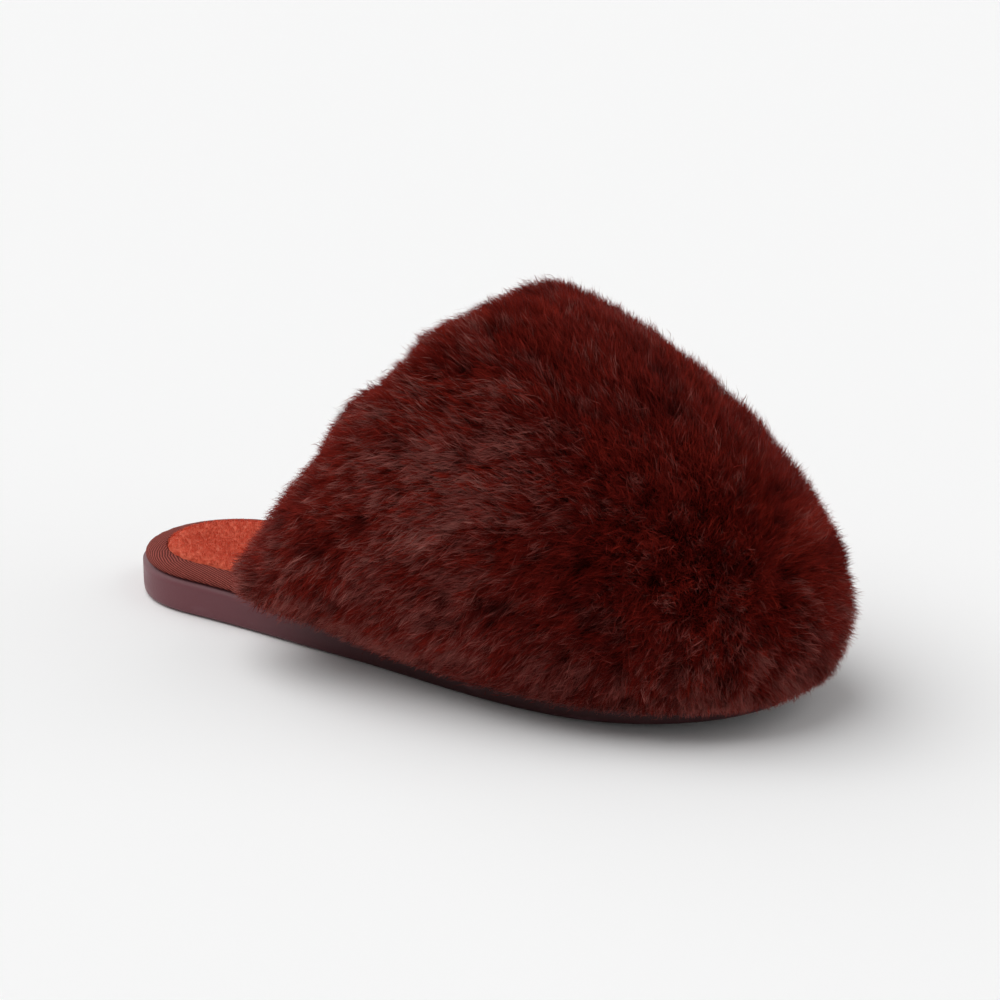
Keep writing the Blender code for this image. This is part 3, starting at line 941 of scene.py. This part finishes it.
def tape_finish(tape):
    """Ribs that run nearly along the tape, from the two measures that the mesh carries."""
    finish = Finish("ribbed tape", {"Roughness": 0.8, "Specular IOR Level": 0.1})
    run, across = finish.attribute("run"), finish.attribute("across")
    wobble = finish.noise(0.012, 1.0) * 0.2
    ribs = ((across + run * math.tan(tape.slant)) / tape.pitch + wobble).wave()
    beads = (run / tape.bead - across / tape.pitch).wave()
    ribs = ribs * (0.75 + beads * 0.25)
    worn = finish.noise(0.003, 4.0)
    # Darker in the grooves, lighter on the ribs: painted shade and painted light.
    tint = finish.ramp(ribs, (0.1, tape.groove), (0.5, tape.base), (0.95, tape.rib))
    finish.feed({"Base Color": finish.shaded(tint, 0.8 + worn * 0.4)})
    finish.bump(ribs, tape.relief)
    return finish.material


class SLIPPER_OT_tape(bpy.types.Operator):
    """Makes the ribbed tape round the footbed"""

    bl_idname = "slipper.tape"
    bl_label = "Tape"

    def execute(self, context):
        mesh = copy_of("binding", smoother(1))
        points, _, _ = arrays(mesh)
        tape = look("tape")
        edge = fine_rim("outsole")
        measured = np.concatenate([[0], np.cumsum(np.linalg.norm(np.diff(edge, axis=0), axis=1))])
        at = nearest(points * FLAT, edge * FLAT)
        height = points[:, 2] - edge[at, 2]
        mark(mesh, "run", measured[at])
        mark(mesh, "across", tape.lip_stretch * far(points, edge[at]) + height)
        finished("tape", mesh, tape_finish(tape), "binding", "binding")
        return {"FINISHED"}


class SLIPPER_OT_outsole(bpy.types.Operator):
    """Gives the outsole its moulded finish"""

    bl_idname = "slipper.outsole"
    bl_label = "Outsole"

    def execute(self, context):
        mesh = copy_of("outsole", smoother(2), crease=True)
        finished("moulded_outsole", mesh, sole_finish(look("sole")), "outsole", "outsole")
        return {"FINISHED"}


def sole_finish(sole):
    """Plum rubber, paler towards the heel and darker towards the toe as painted light and shade, with a fine
    grain, and with crossed grooves underneath.
    """
    finish = Finish("moulded sole", {"Specular IOR Level": 0.22})
    low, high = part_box("outsole")
    place = finish.place()
    forward = (finish.axis(place, "X") - low.x) / (high.x - low.x)
    cloud = finish.noise(0.012, 4.0, (1, 1, 3))
    # Darker towards the toe: painted shade under the fur.
    tint = finish.mix(forward.between(0.1, 0.55), sole.heel, sole.toe)
    tint = finish.mix(cloud.between(0.55, 0.8) * 0.2, tint, sole.scuff)
    finish.feed({"Base Color": tint, "Roughness": sole.roughness - 0.1 + cloud * 0.2})
    under = 1 - finish.axis(place, "Z").between(0.0002, 0.0008)
    lengthwise, sideways = (finish.axis(place, letter) / sole.tread for letter in "XY")
    grooves = (lengthwise + sideways).wave() * (lengthwise - sideways).wave() * under
    finish.bump(finish.noise(sole.grain, 2.0) * (sole.relief / sole.groove) + grooves, sole.groove)
    return finish.material


def soft_sun(name, strength, spread, side):
    """An even light from the given side, as broad as its spread."""
    lamp = bpy.data.lights.new(name, "SUN")
    lamp.energy = strength
    lamp.angle = spread
    made = bpy.data.objects.new(name, lamp)
    made.rotation_euler = Vector(side).to_track_quat("Z", "Y").to_euler()
    bpy.context.scene.collection.objects.link(made)


class SLIPPER_OT_stage(bpy.types.Operator):
    """Sets the pale floor, the lights and the camera"""

    bl_idname = "slipper.stage"
    bl_label = "Stage"

    def execute(self, context):
        stage = look("stage")
        self.floor(stage)
        self.lights(stage)
        self.camera(stage)
        return {"FINISHED"}

    def floor(self, stage):
        mesh = bpy.data.meshes.new("floor")
        half = stage.floor_size / 2
        corners = [(-half, -half, 0), (half, -half, 0), (half, half, 0), (-half, half, 0)]
        mesh.from_pydata(corners, [], [(0, 1, 2, 3)])
        finish = Finish("pale floor", {"Roughness": 0.9, "Specular IOR Level": 0.0})
        finish.feed({"Base Color": (*stage.floor, 1)})
        mesh.materials.append(finish.material)
        ground = bpy.data.objects.new("floor", mesh)
        bpy.context.scene.collection.objects.link(ground)

    def lights(self, stage):
        for name, side in SUNS.items():
            soft_sun(name, getattr(stage, name), stage.spread, side)
        world = bpy.data.worlds.new("room")
        world.use_nodes = True
        wiring = Wiring(world.node_tree)
        upward = wiring.axis(wiring.node("ShaderNodeTexCoord", output="Generated"), "Z")
        strength = stage.wall + (stage.room - stage.wall) * upward.between(WALL_FOOT, WALL_TOP)
        background = world.node_tree.nodes["Background"]
        wiring.plug(background.inputs["Color"], (1, 1, 1, 1))
        wiring.plug(background.inputs["Strength"], strength)
        bpy.context.scene.world = world
        bpy.context.scene.view_settings.view_transform = "Standard"

    def camera(self, stage):
        lens = bpy.data.cameras.new("camera")
        lens.lens = stage.lens
        lens.shift_x = stage.shift_x
        lens.shift_y = stage.shift_y
        turn, rise = stage.azimuth, stage.elevation
        away = Vector((math.sin(turn) * math.cos(rise), -math.cos(turn) * math.cos(rise), math.sin(rise)))
        made = bpy.data.objects.new("camera", lens)
        made.location = Vector(stage.target) + stage.distance * away
        made.rotation_euler = (-away).to_track_quat("-Z", "Y").to_euler()
        bpy.context.scene.collection.objects.link(made)
        bpy.context.scene.camera = made


STEPS = (
    SLIPPER_OT_outsole,
    SLIPPER_OT_tape,
    SLIPPER_OT_footbed,
    SLIPPER_OT_lining,
    SLIPPER_OT_fur,
    SLIPPER_OT_stage,
)


class SLIPPER_PT_sidebar(bpy.types.Panel):
    """Lists the slipper's steps, sizes and colours"""

    bl_label = "Slipper"
    bl_idname = "SLIPPER_PT_sidebar"
    bl_space_type = "VIEW_3D"
    bl_region_type = "UI"
    bl_category = "Slipper"

    def draw(self, context):
        for step in STEPS:
            self.layout.operator(step.bl_idname)
        for name, group in LOOKS.items():
            box = self.layout.box()
            box.label(text=name.title())
            for prop in group.__annotations__:
                box.prop(look(name), prop)


CLASSES = (*LOOKS.values(), *STEPS, SLIPPER_PT_sidebar)


def register():
    for cls in CLASSES:
        bpy.utils.register_class(cls)
    for name, group in LOOKS.items():
        setattr(bpy.types.Scene, f"slipper_{name}", PointerProperty(type=group))


def unregister():
    for name in LOOKS:
        delattr(bpy.types.Scene, f"slipper_{name}")
    for cls in reversed(CLASSES):
        bpy.utils.unregister_class(cls)


def main():
    register()
    for step in STEPS:
        group, operator = step.bl_idname.split(".")
        getattr(getattr(bpy.ops, group), operator)()


if __name__ == "__main__":
    main()
